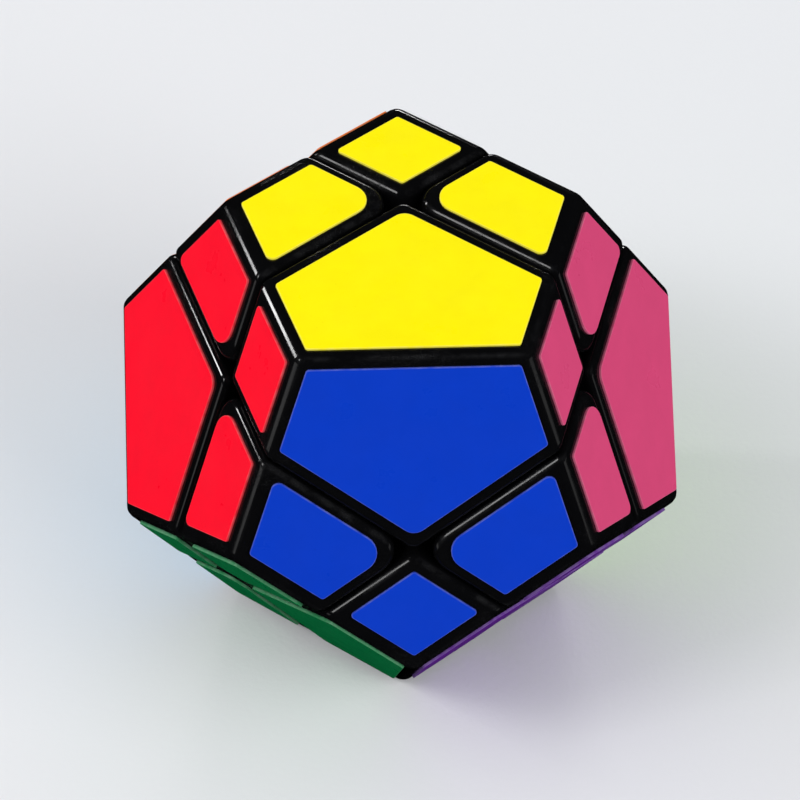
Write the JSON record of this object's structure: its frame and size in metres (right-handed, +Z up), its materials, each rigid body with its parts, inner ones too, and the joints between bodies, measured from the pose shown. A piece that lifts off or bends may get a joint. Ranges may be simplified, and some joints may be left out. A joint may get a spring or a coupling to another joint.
{
  "type": "dodecahedron twisty puzzle",
  "caption": "Hand-held mechanical puzzle shaped as a dodecahedron, cut by planes through its centre into corners and blocks that turn in halves on a sprung core.",
  "frame": {"origin": "centre of the face that the puzzle rests on, at the outer surface of that face's sticker", "axes": "+Z up, square to the resting face and through the centre of the puzzle to the yellow face; +X to the right and -Y towards the viewer who sees the yellow face above the blue one; one dodecahedron edge at each end of X stands in the plane X = constant"},
  "size_m": [0.0694, 0.0728, 0.0601],
  "materials": {
    "black_gloss_plastic": "gloss",
    "black_satin_plastic": "satin",
    "white_core_plastic": "satin",
    "zinc_plated_steel": "satin",
    "spring_steel": "polished",
    "sticker_film_yellow": "satin",
    "sticker_film_blue": "satin",
    "sticker_film_red": "satin",
    "sticker_film_pink": "satin",
    "sticker_film_white": "satin",
    "sticker_film_green": "satin",
    "sticker_film_orange": "satin",
    "sticker_film_purple": "satin",
    "sticker_film_light_green": "satin",
    "sticker_film_light_blue": "satin",
    "sticker_film_grey": "satin",
    "sticker_film_cream": "satin"
  },
  "bodies": {
    "core": {"core_spider": "white_core_plastic", "axle_screw_a": "zinc_plated_steel", "axle_screw_b": "zinc_plated_steel", "axle_screw_c": "zinc_plated_steel", "axle_screw_d": "zinc_plated_steel"},
    "spring_a": {"tension_spring_a": "spring_steel", "screw_washer_a": "zinc_plated_steel"},
    "spring_b": {"tension_spring_b": "spring_steel", "screw_washer_b": "zinc_plated_steel"},
    "spring_c": {"tension_spring_c": "spring_steel", "screw_washer_c": "zinc_plated_steel"},
    "spring_d": {"tension_spring_d": "spring_steel", "screw_washer_d": "zinc_plated_steel"},
    "corner_a": {"axis_corner_base_a": "black_satin_plastic", "axis_corner_cap_a": "black_gloss_plastic"},
    "corner_b": {"axis_corner_base_b": "black_satin_plastic", "axis_corner_cap_b": "black_gloss_plastic"},
    "corner_c": {"axis_corner_base_c": "black_satin_plastic", "axis_corner_cap_c": "black_gloss_plastic"},
    "corner_d": {"axis_corner_base_d": "black_satin_plastic", "axis_corner_cap_d": "black_gloss_plastic"},
    "block_right": {"block_shell_right": "black_gloss_plastic", "block_foot_right": "black_satin_plastic", "sticker_light_green": "sticker_film_light_green", "sticker_pink": "sticker_film_pink"},
    "block_left": {"block_shell_left": "black_gloss_plastic", "block_foot_left": "black_satin_plastic", "sticker_light_blue": "sticker_film_light_blue", "sticker_red": "sticker_film_red"},
    "block_rear": {"block_shell_rear": "black_gloss_plastic", "block_foot_rear": "black_satin_plastic", "sticker_grey": "sticker_film_grey", "sticker_cream": "sticker_film_cream"},
    "block_front": {"block_shell_front": "black_gloss_plastic", "block_foot_front": "black_satin_plastic", "sticker_blue": "sticker_film_blue", "sticker_yellow": "sticker_film_yellow"},
    "block_top": {"block_shell_top": "black_gloss_plastic", "block_foot_top": "black_satin_plastic", "sticker_white": "sticker_film_white", "sticker_orange": "sticker_film_orange"},
    "block_bottom": {"block_shell_bottom": "black_gloss_plastic", "block_foot_bottom": "black_satin_plastic", "sticker_purple": "sticker_film_purple", "sticker_green": "sticker_film_green"},
    "floating_e": {"floating_corner_cap_e": "black_gloss_plastic", "floating_corner_foot_e": "black_satin_plastic"},
    "floating_f": {"floating_corner_cap_f": "black_gloss_plastic", "floating_corner_foot_f": "black_satin_plastic"},
    "floating_g": {"floating_corner_cap_g": "black_gloss_plastic", "floating_corner_foot_g": "black_satin_plastic"},
    "floating_h": {"floating_corner_cap_h": "black_gloss_plastic", "floating_corner_foot_h": "black_satin_plastic"}
  },
  "joints": [
    {"name": "turn_a", "type": "hinge", "parent": "core", "child": "spring_a", "pos_m": [0, 0, 0.03007], "axis": [0.5774, 0.7947, -0.1876], "continuous": true},
    {"name": "turn_b", "type": "hinge", "parent": "core", "child": "spring_b", "pos_m": [0, 0, 0.03007], "axis": [0.5774, -0.7947, 0.1876], "range_deg": [-360, 360]},
    {"name": "turn_c", "type": "hinge", "parent": "core", "child": "spring_c", "pos_m": [0, 0, 0.03007], "axis": [-0.5774, -0.1876, -0.7947], "range_deg": [-360, 360]},
    {"name": "turn_d", "type": "hinge", "parent": "core", "child": "spring_d", "pos_m": [0, 0, 0.03007], "axis": [-0.5774, 0.1876, 0.7947], "range_deg": [-360, 360]},
    {"name": "lift_a", "type": "slide", "parent": "spring_a", "child": "corner_a", "axis": [0.5774, 0.7947, -0.1876], "range_m": [0, 0.0006], "stiffness_N_per_m": 2000, "springref_m": -0.003, "deforming": ["tension_spring_a"]},
    {"name": "lift_b", "type": "slide", "parent": "spring_b", "child": "corner_b", "axis": [0.5774, -0.7947, 0.1876], "range_m": [0, 0.0006], "stiffness_N_per_m": 2000, "springref_m": -0.003, "deforming": ["tension_spring_b"]},
    {"name": "lift_c", "type": "slide", "parent": "spring_c", "child": "corner_c", "axis": [-0.5774, -0.1876, -0.7947], "range_m": [0, 0.0006], "stiffness_N_per_m": 2000, "springref_m": -0.003, "deforming": ["tension_spring_c"]},
    {"name": "lift_d", "type": "slide", "parent": "spring_d", "child": "corner_d", "axis": [-0.5774, 0.1876, 0.7947], "range_m": [0, 0.0006], "stiffness_N_per_m": 2000, "springref_m": -0.003, "deforming": ["tension_spring_d"]},
    {"name": "block_right_with_b", "type": "hinge", "parent": "spring_a", "child": "block_right", "pos_m": [0, 0, 0.03007], "axis": [0.5774, -0.7947, 0.1876], "range_deg": [-360, 360]},
    {"name": "block_rear_with_c", "type": "hinge", "parent": "spring_a", "child": "block_rear", "pos_m": [0, 0, 0.03007], "axis": [-0.5774, -0.1876, -0.7947], "range_deg": [-360, 360]},
    {"name": "block_top_with_d", "type": "hinge", "parent": "spring_a", "child": "block_top", "pos_m": [0, 0, 0.03007], "axis": [-0.5774, 0.1876, 0.7947], "range_deg": [-360, 360]},
    {"name": "block_front_with_d", "type": "hinge", "parent": "spring_b", "child": "block_front", "pos_m": [0, 0, 0.03007], "axis": [-0.5774, 0.1876, 0.7947], "range_deg": [-360, 360]},
    {"name": "block_bottom_with_c", "type": "hinge", "parent": "spring_b", "child": "block_bottom", "pos_m": [0, 0, 0.03007], "axis": [-0.5774, -0.1876, -0.7947], "range_deg": [-360, 360]},
    {"name": "block_left_with_d", "type": "hinge", "parent": "spring_c", "child": "block_left", "pos_m": [0, 0, 0.03007], "axis": [-0.5774, 0.1876, 0.7947], "range_deg": [-360, 360]},
    {"name": "floating_e_with_d", "type": "hinge", "parent": "block_bottom", "child": "floating_e", "pos_m": [0, 0, 0.03007], "axis": [-0.5774, 0.1876, 0.7947], "range_deg": [-360, 360]},
    {"name": "floating_f_with_d", "type": "hinge", "parent": "block_rear", "child": "floating_f", "pos_m": [0, 0, 0.03007], "axis": [-0.5774, 0.1876, 0.7947], "range_deg": [-360, 360]},
    {"name": "floating_g_with_d", "type": "hinge", "parent": "block_right", "child": "floating_g", "pos_m": [0, 0, 0.03007], "axis": [-0.5774, 0.1876, 0.7947], "range_deg": [-360, 360]},
    {"name": "floating_h_with_c", "type": "hinge", "parent": "block_right", "child": "floating_h", "pos_m": [0, 0, 0.03007], "axis": [-0.5774, -0.1876, -0.7947], "range_deg": [-360, 360]}
  ],
  "couplings": [
    {"joint": "block_right_with_b", "follows": "turn_b", "ratio": 1},
    {"joint": "block_rear_with_c", "follows": "turn_c", "ratio": 1},
    {"joint": "block_top_with_d", "follows": "turn_d", "ratio": 1},
    {"joint": "block_front_with_d", "follows": "turn_d", "ratio": 1},
    {"joint": "block_bottom_with_c", "follows": "turn_c", "ratio": 1},
    {"joint": "block_left_with_d", "follows": "turn_d", "ratio": 1},
    {"joint": "floating_e_with_d", "follows": "turn_d", "ratio": 1},
    {"joint": "floating_f_with_d", "follows": "turn_d", "ratio": 1},
    {"joint": "floating_g_with_d", "follows": "turn_d", "ratio": 1},
    {"joint": "floating_h_with_c", "follows": "turn_c", "ratio": 1}
  ]
}
